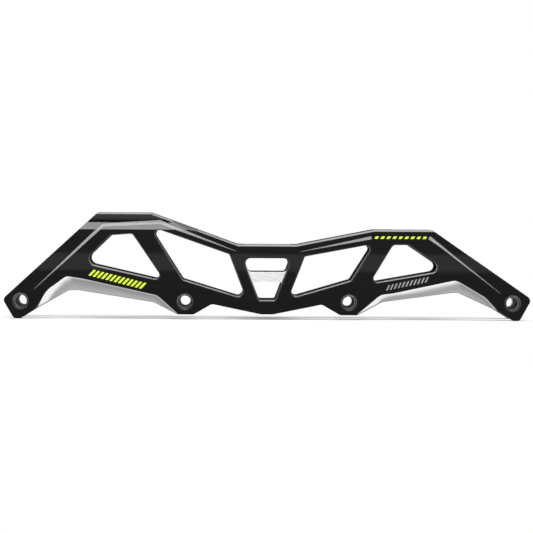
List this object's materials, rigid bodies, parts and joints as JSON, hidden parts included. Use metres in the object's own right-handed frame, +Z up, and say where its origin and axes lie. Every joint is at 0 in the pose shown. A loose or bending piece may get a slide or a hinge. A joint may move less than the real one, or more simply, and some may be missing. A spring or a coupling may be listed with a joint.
{
  "type": "inline skate frame",
  "caption": "Low black inline skate frame of two windowed rails with silver milled edges, stepped decks for a boot, and axle holes along the foot for a row of wheels.",
  "frame": {"origin": "bottom centre of the bounding box, on the floor between the feet", "axes": "+X to the toe, +Y to the skater's left, +Z up"},
  "size_m": [0.3584, 0.041, 0.0725],
  "materials": {
    "rail_anodise": "satin black anodised, with bare milled edges",
    "block_anodise": "satin black anodised",
    "bush_metal": "turned and black anodised",
    "insert_steel": "turned, with a black oxide finish",
    "screw_steel": "zinc plated"
  },
  "bodies": {
    "root": {"right_rail": "rail_anodise", "left_rail": "rail_anodise", "rear_mount_block": "block_anodise", "front_mount_block": "block_anodise", "centre_bridge": "block_anodise", "axle_bush_1": "bush_metal", "axle_bush_2": "bush_metal", "axle_bush_3": "bush_metal", "axle_bush_4": "bush_metal", "axle_insert_1": "insert_steel", "axle_insert_2": "insert_steel", "axle_insert_3": "insert_steel", "axle_insert_4": "insert_steel", "rear_screw_1": "screw_steel", "rear_screw_2": "screw_steel", "front_screw_1": "screw_steel", "front_screw_2": "screw_steel", "bridge_screw_1": "screw_steel", "bridge_screw_2": "screw_steel"}
  },
  "joints": []
}
